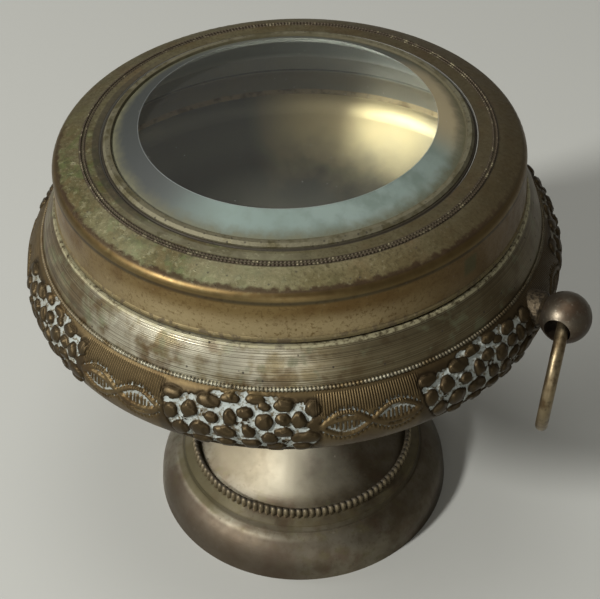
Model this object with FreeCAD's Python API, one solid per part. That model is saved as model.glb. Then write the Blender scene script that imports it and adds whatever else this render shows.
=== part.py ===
import FreeCAD, Part
import math
import os

# A footed brass paan box in millimetres, +Z up, standing on Z = 0 with its axis on Z.
# Spun sheet-brass body with an embossed girdle, a slip-on lid with a bevelled window glass,
# and two ring handles on drilled ball knobs, of which the right-hand one is on the X axis.

# Sheets, fits and clearances
sheet_thickness = 1.0
fit_gap = 0.05                 # between pieces of one assembly that slip into each other
slip_gap = 0.4                 # between the lid's wall and the neck inside it
rest_gap = 0.15                # under the closed lid
overrun = 2.0                  # how far cutting tools run past what they cut

# Lid
lid_radius = 54.3              # outside of the wall, just under the rounded top edge
lid_height = 15.0              # from its seat on the shoulder to the flat top
lid_flare = 0.5                # how much wider the wall is at its lower end
lid_land = 7.8                 # from the wall in to where the flat top starts to fall
lid_fall = 2.0                 # fall of the top outside the flat part
lid_fall_shares = (0.5, 0.4)   # middle of the falling part's curve, out and down
lid_edge_width = 1.7           # rounding between the falling part and the wall
lid_edge_drop = 2.0
lid_edge_shares = (0.66, 0.385)         # middle of the rounding, out and down
lid_roll_radius = 0.8          # rolled wire at the lower end of the wall

# Window glass and the bezel that holds it
glass_border = 13.3            # from the lid's wall to the edge of the glass
glass_thickness = 5.55
glass_edge_height = 1.65
bevel_width = 7.1
window_seat_width = 3.5        # how far the seat reaches under the glass
well_depth = 1.8               # how far the window seat lies below the flat top
bezel_wall = 1.2
bezel_lip = 0.8                # how far the bezel reaches over the glass
bezel_rise = 0.9               # how far the bezel stands above the flat top
groove_width = 0.5             # turned groove round the bezel
groove_depth = 0.4
groove_distance = 0.3          # from the well to the groove

# Neck and shoulder
neck_height = 9.8              # above the lid's seat
ledge_overhang = 0.8           # how far the seat reaches past the lid's wall
shoulder_height = 8.8
shoulder_bulge_shares = (0.64, 0.49)    # middle of the shoulder's curve, out and up

# Girdle: the embossed band round the widest line
belt_overhang = 10.0           # how far the widest line stands out past the lid
girdle_section_radius = 10.5   # of the arc that the band follows
girdle_turn = 58.0             # degrees above level where the band's upper edge lies
girdle_thickness = 1.2
top_bead_radius = 0.7          # beaded wire on the band's upper edge

# Embossing: flower clusters on a sunk ground, and two leaf-shaped hollows between them
cluster_count = 7
cluster_start = -71.2          # degrees from the X axis to the middle of the first cluster
cluster_half_length = 17.6     # along the widest line
cluster_reach_up = 9.2         # up the band from the widest line
cluster_reach_down = 5.4
emboss_depth = 0.6             # of the ground under the band's surface
petal_radius = 2.2
petal_rise = 0.75              # of a petal's middle above the ground
petal_root = 0.45              # how far a petal reaches into the sheet under the ground
# Petals of a cluster: shares of its half length, of its reach up and of the petal radius
petal_shares = ((-0.86, 0.74, 0.80), (-0.85, 0.28, 0.85), (-0.61, 0.47, 0.95), (-0.375, 0.75, 1.00),
                (-0.32, 0.35, 0.80), (-0.10, 0.88, 0.75), (-0.09, 0.40, 0.85), (-0.165, -0.02, 1.05),
                (-0.465, -0.04, 1.10), (0.21, 0.90, 0.75), (0.09, 0.60, 0.75), (0.14, 0.07, 0.80),
                (0.33, 0.75, 0.60), (0.33, 0.37, 1.00), (0.575, 0.79, 0.90), (0.56, 0.45, 0.85),
                (0.745, 0.435, 0.85), (0.56, 0.09, 0.80), (0.39, -0.11, 0.95), (0.925, 0.705, 0.80),
                (0.81, -0.08, 1.00), (-0.72, -0.16, 0.95), (-0.46, -0.46, 0.85), (-0.16, -0.42, 0.85),
                (0.16, -0.36, 0.85), (0.50, -0.44, 0.85), (0.80, -0.46, 0.80))
leaf_length = 9.4              # of each hollow between two clusters
leaf_half_width = 2.2
leaf_level = 1.9               # up the band from the widest line to the leaves' middle

# Lower bowl
seam_drop = 1.5                # how far the bowl's rim lies below the widest line
bowl_turn = 48.0               # degrees below level where the side curves over to the bottom
band_margin = 2.0              # degrees that the band's lower edge stays short of that turn
solder_size = 1.1              # leg of the solder line inside the seam

# Stem collar and foot
collar_height = 6.8
collar_radius = 13.0
collar_neck_radius = 11.2
spigot_length = 3.0
foot_height = 46.0
foot_radius = 40.0
stem_radius = 10.5
stem_straight = 3.0
trumpet_shares = (0.31, 0.354)          # middle of the trumpet's curve, out and up
ledge_radius = 32.6            # outer edge of the flat ledge outside the beads
ledge_height = 12.6
ledge_slope = 1.5              # how much the ledge falls outwards
step_width = 0.5               # small step between the ledge and the rolled base
step_height = 1.2
base_roll_shares = (0.64, 0.68)         # middle of the rolled base's curve, out and up
rim_height = 2.4
rim_flare = 0.3

# Ring of upright beads on the foot's ledge
bead_count = 110
bead_ring_radius = 29.5
bead_depth = 0.9
bead_height = 2.2
bead_ring_width = 1.6
bead_valley_share = 0.42       # share of the pitch that each valley takes
bead_slope_share = 0.5         # how much of the bead's depth its top leans inwards

# Drilled ball knobs
knob_radius = 5.9
knob_level = 4.0               # above the widest line
knob_standoff = 0.3            # from the girdle to the ball
knob_hole_radius = 3.05
knob_spread = 169.0            # degrees round the box from the right-hand knob to the left-hand one
shank_radius = 1.8
knob_collar_radius = 4.1
knob_collar_edge = 0.8         # straight part of the collar's rim
knob_collar_waist = 3.5
washer_radius = 4.0
washer_thickness = 0.9
peen_radius = 2.7
peen_height = 1.0

# Rings
ring_wire_radius = 1.45
ring_radius = 14.8             # to the middle of the wire
ring_turn = 12.5               # degrees that a hanging ring is turned in its loose hole
ring_lean = 3.5                # degrees that it leans in towards the bowl


def unit(vector):
    length = math.hypot(vector[0], vector[1])
    return (vector[0] / length, vector[1] / length)


def circle_centre(a, m, b):
    """Centre of the circle through three points of a section."""
    d = 2 * (a[0] * (m[1] - b[1]) + m[0] * (b[1] - a[1]) + b[0] * (a[1] - m[1]))
    sa, sm, sb = (p[0] ** 2 + p[1] ** 2 for p in (a, m, b))
    x = (sa * (m[1] - b[1]) + sm * (b[1] - a[1]) + sb * (a[1] - m[1])) / d
    y = (sa * (b[0] - m[0]) + sm * (a[0] - b[0]) + sb * (m[0] - a[0])) / d
    return (x, y)


def left_normals(start, segment):
    """Unit normals to the left of a segment at its start, middle and end."""
    end = segment[-1]
    if len(segment) == 1:
        along = unit((end[0] - start[0], end[1] - start[1]))
        normal = (-along[1], along[0])
        return normal, normal, normal
    middle = segment[0]
    centre = circle_centre(start, middle, end)
    turn = ((middle[0] - start[0]) * (end[1] - middle[1])
            - (middle[1] - start[1]) * (end[0] - middle[0]))
    side = 1 if turn > 0 else -1
    return tuple(unit((side * (centre[0] - p[0]), side * (centre[1] - p[1])))
                 for p in (start, middle, end))


def shifted(outline, distance):
    """The same outline moved to its left, with its corners mitred."""
    start = outline[0]
    normals = []
    for segment in outline[1:]:
        normals.append(left_normals(start, segment))
        start = segment[-1]
    corners = []
    points = [outline[0]] + [segment[-1] for segment in outline[1:]]
    for index, point in enumerate(points):
        before = normals[index - 1][2] if index > 0 else normals[0][0]
        after = normals[index][0] if index < len(normals) else normals[-1][2]
        spread = 1 + before[0] * after[0] + before[1] * after[1]
        corners.append((point[0] + distance * (before[0] + after[0]) / spread,
                        point[1] + distance * (before[1] + after[1]) / spread))
    moved = [corners[0]]
    for index, segment in enumerate(outline[1:]):
        end = corners[index + 1]
        if len(segment) == 1:
            moved.append((end,))
            continue
        normal = normals[index][1]
        middle = (segment[0][0] + distance * normal[0], segment[0][1] + distance * normal[1])
        moved.append((middle, end))
    return moved


def reversed_outline(outline):
    points = [outline[0]] + [segment[-1] for segment in outline[1:]]
    turned = [points[-1]]
    for index in range(len(outline) - 1, 0, -1):
        turned.append(tuple(outline[index][:-1]) + (points[index - 1],))
    return turned


def section_edges(outline):
    """Edges in the XZ plane of an outline: a first point, then line or arc segments."""
    edges = []
    start = FreeCAD.Vector(outline[0][0], 0, outline[0][1])
    for segment in outline[1:]:
        ends = [FreeCAD.Vector(p[0], 0, p[1]) for p in segment]
        if len(ends) == 1:
            edges.append(Part.LineSegment(start, ends[0]).toShape())
        else:
            edges.append(Part.Arc(start, ends[0], ends[1]).toShape())
        start = ends[-1]
    return edges


def spin(outline):
    """Solid of revolution of a closed outline about Z."""
    closed = list(outline)
    if closed[-1][-1] != closed[0]:
        closed.append((closed[0],))
    face = Part.Face(Part.Wire(section_edges(closed)))
    solid = face.revolve(FreeCAD.Vector(0, 0, 0), FreeCAD.Vector(0, 0, 1), 360)
    if solid.Volume < 0:
        solid.reverse()
    return solid


def spun_sheet(outline, thickness):
    """A spun shell: the outline is one skin, and the other lies to its left."""
    inner = reversed_outline(shifted(outline, thickness))
    return spin(list(outline) + [(inner[0],)] + inner[1:])


def polar(centre, radius, degrees):
    angle = math.radians(degrees)
    return (centre[0] + radius * math.cos(angle), centre[1] + radius * math.sin(angle))


def between(start, end, shares):
    """A point at the given shares of the way from one point to another, across and up."""
    return (start[0] + (end[0] - start[0]) * shares[0],
            start[1] + (end[1] - start[1]) * shares[1])


def trimmed_below(solid, level):
    """The part of a round solid above a level, so that it ends in a flat face there."""
    box = solid.optimalBoundingBox()
    reach = box.XMax + overrun
    below = Part.makeCylinder(reach, level - box.ZMin + overrun, FreeCAD.Vector(0, 0, box.ZMin - overrun))
    return solid.cut(below)


def along_x(radius, start, length, level):
    return Part.makeCylinder(radius, length, FreeCAD.Vector(start, 0, level), FreeCAD.Vector(1, 0, 0))


def turned_about_axis(solid, degrees):
    solid.rotate(FreeCAD.Vector(0, 0, 0), FreeCAD.Vector(0, 0, 1), degrees)
    return solid


def spin_about_x(outline, level):
    """Solid of revolution about the knob's axis; the outline gives distance along X and radius."""
    edges = []
    corners = [FreeCAD.Vector(x, 0, level + radius) for x, radius in outline]
    for index, corner in enumerate(corners):
        edges.append(Part.LineSegment(corner, corners[(index + 1) % len(corners)]).toShape())
    face = Part.Face(Part.Wire(edges))
    solid = face.revolve(FreeCAD.Vector(0, 0, level), FreeCAD.Vector(1, 0, 0), 360)
    if solid.Volume < 0:
        solid.reverse()
    return solid


def round_wire(radius, wire_radius, level):
    """A turned wire of eight flats, level at its top and bottom."""
    half_flat = 22.5
    corners = [polar((radius, level), wire_radius / math.cos(math.radians(half_flat)),
                     half_flat + 45 * index) for index in range(8)]
    return spin([corners[0]] + [(corner,) for corner in corners[1:]])


# Levels and section points that the pieces share
glass_radius = lid_radius - glass_border
bowl_bottom = foot_height + collar_height
girdle_radius = lid_radius + belt_overhang
section_centre_radius = girdle_radius - girdle_section_radius
body_section_radius = girdle_section_radius - girdle_thickness - fit_gap
turn_radius = section_centre_radius + body_section_radius * math.cos(math.radians(bowl_turn))
bottom_radius = turn_radius / math.cos(math.radians(bowl_turn))
turn_level = bowl_bottom + bottom_radius * (1 - math.sin(math.radians(bowl_turn)))
belt_level = turn_level + body_section_radius * math.sin(math.radians(bowl_turn))
section_centre = (section_centre_radius, belt_level)
bottom_centre = (0, bowl_bottom + bottom_radius)
girdle_top = belt_level + girdle_section_radius * math.sin(math.radians(girdle_turn))
girdle_bottom = belt_level - girdle_section_radius * math.sin(math.radians(bowl_turn - band_margin))
seat_level = girdle_top + shoulder_height
lid_top = seat_level + lid_height
neck_radius = lid_radius - sheet_thickness - slip_gap
knob_height = belt_level + knob_level


def girdle_radius_at(level, section_radius):
    """Radius of an arc round the girdle's section centre at a level."""
    return section_centre_radius + math.sqrt(section_radius ** 2 - (level - belt_level) ** 2)


def rim_angle_below_belt():
    """Direction from the girdle's section centre to the bowl's rim."""
    return -math.degrees(math.asin(seam_drop / body_section_radius))


def bowl_profile(offset):
    """The bowl's skin, from its rim down to the axis, a distance inside its outer side."""
    side = body_section_radius - offset
    bottom = bottom_radius - offset
    rim_angle = rim_angle_below_belt()
    return [polar(section_centre, side, rim_angle),
            (polar(section_centre, side, (rim_angle - bowl_turn) / 2),
             polar(section_centre, side, -bowl_turn)),
            (polar(bottom_centre, bottom, -(bowl_turn + 90) / 2),
             polar(bottom_centre, bottom, -90))]


def make_lower_bowl():
    outside = bowl_profile(0)
    inside = reversed_outline(bowl_profile(sheet_thickness))
    return spin(outside + [(inside[0],)] + inside[1:])


def make_body_solder():
    """The fillet of solder between the bowl's rim and the girdle's inner side."""
    wall = girdle_section_radius - girdle_thickness
    rim_angle = rim_angle_below_belt()
    top_angle = rim_angle + math.degrees(solder_size / wall)
    return spin([polar(section_centre, wall - solder_size, rim_angle),
                 (polar(section_centre, wall, rim_angle),),
                 (polar(section_centre, wall, (rim_angle + top_angle) / 2),
                  polar(section_centre, wall, top_angle))])


def girdle_core(section_radius):
    """A fat ring whose outer side is an arc of the girdle, used to shape what seats on it."""
    return Part.makeTorus(section_centre_radius, section_radius, FreeCAD.Vector(0, 0, belt_level))


def on_girdle(along, up, section_radius):
    """A point over the band: distance along the widest line and up the section's arc, with its normal."""
    around = along / girdle_radius
    turn = up / girdle_section_radius
    normal = FreeCAD.Vector(math.cos(around) * math.cos(turn), math.sin(around) * math.cos(turn), math.sin(turn))
    centre = FreeCAD.Vector(section_centre_radius * math.cos(around),
                            section_centre_radius * math.sin(around), belt_level)
    return centre + normal * section_radius, normal


def pie_slice(low, high, half_turn):
    """A round slice about the axis that reaches past the band, with its middle towards X."""
    solid = Part.makeCylinder(girdle_radius + overrun, high - low, FreeCAD.Vector(0, 0, low),
                              FreeCAD.Vector(0, 0, 1), 2 * half_turn)
    return turned_about_axis(solid, -half_turn)


def make_cluster_ground():
    """What is taken off the band's outer side under one flower cluster, its walls square to the band."""
    bed = girdle_section_radius - emboss_depth
    outside = girdle_section_radius + overrun
    low = -math.degrees(cluster_reach_down / girdle_section_radius)
    high = math.degrees(cluster_reach_up / girdle_section_radius)
    middle = (low + high) / 2
    ring = spin([polar(section_centre, bed, low), (polar(section_centre, outside, low),),
                 (polar(section_centre, outside, middle), polar(section_centre, outside, high)),
                 (polar(section_centre, bed, high),),
                 (polar(section_centre, bed, middle), polar(section_centre, bed, low))])
    half_turn = math.degrees(cluster_half_length / girdle_radius)
    return ring.common(pie_slice(girdle_bottom - overrun, girdle_top + overrun, half_turn))


def make_leaf(along):
    """One leaf-shaped hollow: the overlap of two round cuts, down to the ground's depth."""
    arc_radius = ((leaf_length / 2) ** 2 + leaf_half_width ** 2) / (2 * leaf_half_width)
    spread = arc_radius - leaf_half_width
    cuts = []
    for side in (-1, 1):
        start, normal = on_girdle(along, leaf_level, girdle_section_radius - overrun)
        upwards = normal.cross(FreeCAD.Vector(-normal.y, normal.x, 0)).normalize()
        cuts.append(Part.makeCylinder(arc_radius, 2 * overrun, start + upwards * (side * spread), normal))
    return cuts[0].common(cuts[1]).cut(girdle_core(girdle_section_radius - emboss_depth))


def make_petals():
    """The petals of one cluster: low domes with their flat undersides inside the sheet."""
    depth = petal_root + petal_rise
    petals = []
    for along, up, size in petal_shares:
        reach = petal_radius * size
        ball_radius = (reach ** 2 + petal_rise ** 2) / (2 * petal_rise)
        level = girdle_section_radius - emboss_depth + petal_rise - ball_radius
        place, normal = on_girdle(along * cluster_half_length, up * cluster_reach_up, level)
        start = math.degrees(math.asin((ball_radius - depth) / ball_radius))
        petals.append(Part.makeSphere(ball_radius, place, normal, start, 90, 360))
    return petals


def make_girdle():
    """Curved band over the bowl's widest line, embossed outside and drilled for the two shanks."""
    height = girdle_top - girdle_bottom
    low = FreeCAD.Vector(0, 0, girdle_bottom)
    slab = Part.makeCylinder(girdle_radius + overrun, height, low)
    slab = slab.cut(Part.makeCylinder(section_centre_radius, height, low))
    band = girdle_core(girdle_section_radius).common(slab)
    band = band.cut(girdle_core(girdle_section_radius - girdle_thickness))
    half_repeat = math.pi * girdle_radius / cluster_count
    middle_of_leaf = cluster_half_length + (half_repeat - cluster_half_length) / 2
    sector = band.common(pie_slice(girdle_bottom - overrun, girdle_top + overrun, 180 / cluster_count))
    for cut in (make_cluster_ground(), make_leaf(middle_of_leaf), make_leaf(-middle_of_leaf)):
        sector = sector.cut(cut)
    sector = sector.multiFuse(make_petals())
    sectors = []
    for index in range(cluster_count):
        sectors.append(turned_about_axis(sector.copy(), cluster_start + 360 / cluster_count * index))
    band = sectors[0].multiFuse(sectors[1:]).removeSplitter()
    for degrees in (0, knob_spread):
        hole = along_x(shank_radius + fit_gap, 0, girdle_radius + overrun, knob_height)
        band = band.cut(turned_about_axis(hole, degrees))
    return band


def make_shoulder():
    """Neck, lid seat and shoulder, spun from one sheet."""
    seat_edge = (lid_radius + lid_flare + ledge_overhang, seat_level)
    foot = (girdle_radius_at(girdle_top, girdle_section_radius), girdle_top)
    skin = [(neck_radius, seat_level + neck_height),
            ((neck_radius, seat_level),),
            (seat_edge,),
            (between(seat_edge, foot, (shoulder_bulge_shares[0], 1 - shoulder_bulge_shares[1])), foot)]
    return trimmed_below(spun_sheet(skin, -sheet_thickness), girdle_top)


def make_top_bead(girdle, shoulder):
    radius = girdle_radius_at(girdle_top, girdle_section_radius)
    return round_wire(radius, top_bead_radius, girdle_top).cut(girdle).cut(shoulder)


def make_stem_collar():
    seat_radius = bottom_radius
    rim_angle = -math.degrees(math.acos(collar_neck_radius / seat_radius))
    spigot_radius = stem_radius - sheet_thickness - fit_gap
    rim = polar(bottom_centre, seat_radius, rim_angle)
    middle = (collar_radius, (foot_height + rim[1]) / 2)
    return spin([(0, foot_height - spigot_length),
                 ((spigot_radius, foot_height - spigot_length),),
                 ((spigot_radius, foot_height),),
                 ((collar_neck_radius, foot_height),),
                 (middle, rim),
                 (polar(bottom_centre, seat_radius, (rim_angle - 90) / 2),
                  polar(bottom_centre, seat_radius, -90))])


def make_foot():
    """Spun trumpet foot with a ledge for the beads and a rolled base."""
    trumpet_top = (stem_radius, foot_height - stem_straight)
    ledge_start = (bead_ring_radius - bead_ring_width / 2, ledge_height + ledge_slope)
    step_foot = (ledge_radius + step_width, ledge_height - step_height)
    roll_end = (foot_radius - rim_flare, rim_height)
    trumpet_middle = between(trumpet_top, ledge_start, (trumpet_shares[0], 1 - trumpet_shares[1]))
    skin = [(stem_radius, foot_height),
            (trumpet_top,),
            (trumpet_middle, ledge_start),
            ((ledge_radius, ledge_height),),
            (step_foot,),
            (between(step_foot, roll_end, (base_roll_shares[0], 1 - base_roll_shares[1])), roll_end),
            ((foot_radius, 0),)]
    return trimmed_below(spun_sheet(skin, -sheet_thickness), 0)


def make_foot_beads(foot):
    """A toothed ring: upright beads with narrow valleys, seated on the ledge."""
    pitch = 360 / bead_count
    outer = bead_ring_radius + bead_depth
    inner = bead_ring_radius - bead_ring_width / 2
    fall = ledge_slope / (ledge_radius - inner)
    base = ledge_height + fall * (ledge_radius - outer) - sheet_thickness / 4
    top = ledge_height + ledge_slope + bead_height
    corners = []
    for index in range(bead_count):
        middle = pitch * index
        half = pitch * (1 - bead_valley_share) / 2
        for radius, degrees in ((bead_ring_radius, middle - pitch / 2), (outer, middle - half),
                                (outer, middle + half)):
            x, y = polar((0, 0), radius, degrees)
            corners.append(FreeCAD.Vector(x, y, base))
    star = Part.Face(Part.makePolygon(corners + corners[:1])).extrude(FreeCAD.Vector(0, 0, top - base))
    lean = bead_depth * bead_slope_share
    envelope = spin([(inner, base), ((outer, base),), ((outer, (base + top) / 2),), ((outer - lean, top),),
                     ((inner + lean, top),), ((inner, (base + top) / 2),)])
    return star.common(envelope).cut(foot)


def make_lid_shell():
    """Ring-shaped top with a stepped-down seat for the glass, falling to a rounded edge, and a flared wall."""
    well_radius = glass_radius + fit_gap + bezel_wall
    wall_foot = seat_level + rest_gap + 2 * lid_roll_radius
    land_end = (lid_radius - lid_land, lid_top)
    fall_end = (lid_radius - lid_edge_width, lid_top - lid_fall)
    wall_top = (lid_radius, lid_top - lid_fall - lid_edge_drop)
    skin = [(glass_radius - window_seat_width, lid_top - well_depth),
            ((well_radius, lid_top - well_depth),),
            ((well_radius, lid_top),),
            (land_end,),
            (between(land_end, fall_end, lid_fall_shares), fall_end),
            (between(fall_end, wall_top, lid_edge_shares), wall_top),
            ((lid_radius + lid_flare, wall_foot),)]
    shell = trimmed_below(spun_sheet(skin, -sheet_thickness), wall_foot)
    groove_inner = well_radius + groove_distance
    middle = groove_inner + groove_width / 2
    groove = spin([(groove_inner, lid_top + groove_depth), ((groove_inner, lid_top),),
                   ((middle, lid_top - groove_depth),), ((groove_inner + groove_width, lid_top),),
                   ((groove_inner + groove_width, lid_top + groove_depth),)])
    return shell.cut(groove)


def make_lid_roll():
    radius = lid_radius + lid_flare - sheet_thickness / 2
    return round_wire(radius, lid_roll_radius, seat_level + rest_gap + lid_roll_radius)


def bevel_level(radius):
    """Height of the glass's bevel at a radius."""
    base = lid_top - well_depth
    slope = (glass_thickness - glass_edge_height) / bevel_width
    return base + glass_edge_height + (glass_radius - radius) * slope


def make_glass():
    base = lid_top - well_depth
    return spin([(0, base), ((glass_radius, base),), ((glass_radius, base + glass_edge_height),),
                 ((glass_radius - bevel_width, base + glass_thickness),), ((0, base + glass_thickness),)])


def make_bezel():
    """Ring that sits in the well round the glass, with its lip closed over the bevel."""
    base = lid_top - well_depth
    inner = glass_radius + fit_gap
    outer = inner + bezel_wall - fit_gap
    lip = glass_radius - bezel_lip
    crown = lid_top + bezel_rise
    round_off = bezel_wall / 2
    return spin([(inner, base), ((outer, base),), ((outer, crown - round_off),),
                 ((outer - round_off, crown),), ((inner - round_off, crown),),
                 ((lip, bevel_level(lip) + fit_gap),), ((inner, bevel_level(inner) + fit_gap),)])


surface_at_knob = girdle_radius_at(knob_height, girdle_section_radius)
inner_at_knob = girdle_radius_at(knob_height, girdle_section_radius - girdle_thickness)
ball_centre = surface_at_knob + knob_standoff + knob_radius


def make_knob():
    """Ball drilled across for the ring, with a shank that is peened over inside the girdle."""
    wall = inner_at_knob - washer_thickness
    ball = Part.makeSphere(knob_radius, FreeCAD.Vector(ball_centre, 0, knob_height))
    shank = along_x(shank_radius, wall - peen_height, ball_centre - wall + peen_height, knob_height)
    dome = [(wall - peen_height, 0), (wall - peen_height, shank_radius),
            (wall - peen_height / 2, peen_radius), (wall, peen_radius), (wall, 0)]
    peen = spin_about_x(dome, knob_height)
    inside = girdle_core(girdle_section_radius - girdle_thickness - washer_thickness - fit_gap)
    length = 2 * (knob_radius + overrun)
    hole = Part.makeCylinder(knob_hole_radius, length,
                             FreeCAD.Vector(ball_centre, -length / 2, knob_height), FreeCAD.Vector(0, 1, 0))
    return ball.fuse(shank).fuse(peen.common(inside)).cut(hole).removeSplitter()


def make_knob_collar(girdle, degrees):
    """Collar round the foot of the ball, shaped below to the girdle and dished above for the ball."""
    bore = shank_radius + fit_gap
    inner = surface_at_knob - knob_collar_radius
    outer = ball_centre - math.sqrt(knob_radius ** 2 - knob_collar_waist ** 2)
    collar = spin_about_x([(inner, bore), (inner, knob_collar_radius),
                           (surface_at_knob + knob_collar_edge, knob_collar_radius),
                           (outer, knob_collar_waist), (outer, bore)], knob_height)
    ball = Part.makeSphere(knob_radius + fit_gap, FreeCAD.Vector(ball_centre, 0, knob_height))
    collar = collar.cut(girdle_core(girdle_section_radius)).cut(ball)
    return turned_about_axis(collar, degrees).cut(girdle)


def make_knob_washer():
    """Washer under the peened end, bent to the inner side of the girdle."""
    section = girdle_section_radius - girdle_thickness
    start = inner_at_knob - washer_radius
    disc = along_x(washer_radius, start, washer_radius + overrun, knob_height)
    disc = disc.cut(along_x(shank_radius + fit_gap, start - overrun, washer_radius + 3 * overrun, knob_height))
    return disc.common(girdle_core(section)).cut(girdle_core(section - washer_thickness))


def make_ring():
    """Wire ring hanging through the ball, its arc centred in the hole and leaning in a little."""
    half_hole = math.sqrt(knob_radius ** 2 - knob_hole_radius ** 2)
    sag = ring_radius - math.sqrt(ring_radius ** 2 - half_hole ** 2)
    centre = FreeCAD.Vector(ball_centre, 0, knob_height - ring_radius + sag / 2)
    ring = Part.makeTorus(ring_radius, ring_wire_radius, centre, FreeCAD.Vector(1, 0, 0))
    ring.rotate(centre, FreeCAD.Vector(0, 0, 1), ring_turn)
    ring.rotate(FreeCAD.Vector(ball_centre, 0, knob_height), FreeCAD.Vector(0, 1, 0), ring_lean)
    return ring


def build():
    foot = make_foot()
    girdle = make_girdle()
    shoulder = make_shoulder()
    pieces = {
        "pedestal_foot": foot,
        "foot_bead_ring": make_foot_beads(foot),
        "stem_collar": make_stem_collar(),
        "lower_bowl": make_lower_bowl(),
        "body_solder": make_body_solder(),
        "girdle_band": girdle,
        "girdle_top_bead": make_top_bead(girdle, shoulder),
        "shoulder_shell": shoulder,
        "lid_shell": make_lid_shell(),
        "lid_rolled_edge": make_lid_roll(),
        "lid_bezel": make_bezel(),
        "lid_glass": make_glass(),
    }
    for side, degrees in (("_right", 0), ("_left", knob_spread)):
        pieces["knob" + side] = turned_about_axis(make_knob(), degrees)
        pieces["knob_collar" + side] = make_knob_collar(girdle, degrees)
        pieces["knob_washer" + side] = turned_about_axis(make_knob_washer(), degrees)
        pieces["ring" + side] = turned_about_axis(make_ring(), degrees)
    return pieces


def main():
    os.makedirs("parts", exist_ok=True)
    for name, piece in build().items():
        piece.exportStep(os.path.join("parts", name + ".step"))
        box = piece.BoundBox
        print("%-18s solids %d valid %s volume %9.1f  r/x %.2f..%.2f z %.2f..%.2f" % (
            name, len(piece.Solids), piece.isValid(), piece.Volume, box.XMin, box.XMax, box.ZMin, box.ZMax))
    print("ball centre %.3f, %.3f; belt level %.3f; seat %.3f; lid top %.3f; bowl bottom %.3f" % (
        ball_centre, knob_height, belt_level, seat_level, lid_top, bowl_bottom))


main()
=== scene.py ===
import math

import bpy
import numpy as np
from mathutils import Matrix, Vector


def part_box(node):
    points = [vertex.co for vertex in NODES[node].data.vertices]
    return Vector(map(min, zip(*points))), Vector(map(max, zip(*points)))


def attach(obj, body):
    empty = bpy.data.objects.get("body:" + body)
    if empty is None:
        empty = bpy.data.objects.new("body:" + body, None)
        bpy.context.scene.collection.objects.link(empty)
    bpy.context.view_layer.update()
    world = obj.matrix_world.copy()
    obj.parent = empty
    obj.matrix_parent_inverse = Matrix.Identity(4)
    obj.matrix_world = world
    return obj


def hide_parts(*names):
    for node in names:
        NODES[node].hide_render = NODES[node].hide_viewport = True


# A footed brass paan box: its finishes, its embossed girdle, its beaded wires, light and camera.
# Lengths are in millimetres until they are put into a mesh. Directions are in degrees round the
# object's axis, from its +X axis. Colours are as a display shows them, 0 to 255.

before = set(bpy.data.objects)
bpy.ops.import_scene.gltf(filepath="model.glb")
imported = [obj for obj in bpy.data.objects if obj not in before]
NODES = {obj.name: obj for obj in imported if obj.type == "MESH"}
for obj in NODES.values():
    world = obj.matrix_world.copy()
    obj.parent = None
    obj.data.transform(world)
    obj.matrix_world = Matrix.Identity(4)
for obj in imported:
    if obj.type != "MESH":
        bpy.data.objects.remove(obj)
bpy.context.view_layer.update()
MM = 0.001

# Camera, fitted to the photograph's circles
view_azimuth = -59.21
view_pitch = 41.96             # how far the view looks down
view_roll = -2.39
view_distance = 253.8          # level distance from the object's axis
view_height = 291.45
view_aside = 1.06
view_lens = 80.65
view_sensor = 36.0
view_clip = 0.01               # in metres

# Directions round the axis as they lie in the photograph's view
FRONT = view_azimuth
FRONT_LEFT = view_azimuth - 45
LEFT = view_azimuth - 90
RIGHT = view_azimuth + 90
FRONT_RIGHT = view_azimuth + 45
BACK = view_azimuth + 180
STAIN = view_azimuth + 43

# Lamps: name, azimuth in the view (0 towards the camera, 90 to the right), level distance,
# height, height of the point aimed at, diameter, power in watts
LAMPS = [("key", -58, 1450, 1100, 80, 230, 36),
         ("window", -110, 900, 900, 60, 420, 3.5),
         ("overhead", 20, 60, 1200, 80, 500, 3.0),
         ("low", -4, 900, 210, 40, 460, 1.2)]
SKY = (225, 224, 220)
sky_strength = 0.26
floor_half = 3.0               # in metres

GRIME = (40, 32, 20)
TINNED = (134, 132, 123)

# The girdle's plain section, as the CAD has it under the embossing: an arc round section_centre
section_centre = 53.8
section_radius = 10.5
belt_level = 82.702
belt_radius = section_centre + section_radius
belt_thickness = 1.2

# Girdle pattern
repeats = 7
repeat_columns = 220
section_rows = 60
first_cluster = -71.2          # direction of the middle of one flower cluster
relief_recess = 0.62           # depth of the ground between the petals
relief_swell = 0.24            # how far a petal's middle stands proud
relief_edge = 0.26             # width of a raised form's shoulder
dome_share = 0.42              # share of a petal's height that its dome takes
ground_reach = 1.0             # how far the sunk ground reaches past one petal
second_reach = 1.5             # and past the next one
petal_growth = 0.16            # how much wider each petal is than its listed half sizes
uneven_wide = 0.09             # unevenness of the petals' edges, two waves
uneven_fine = 0.06
hatch_count = 680.0            # fine upright lines between clusters, all round
fade_top = 0.6                 # how far from its edges the relief dies out
fade_bottom = 0.3
inner_rows = 7                 # of the plain inner side

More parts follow.
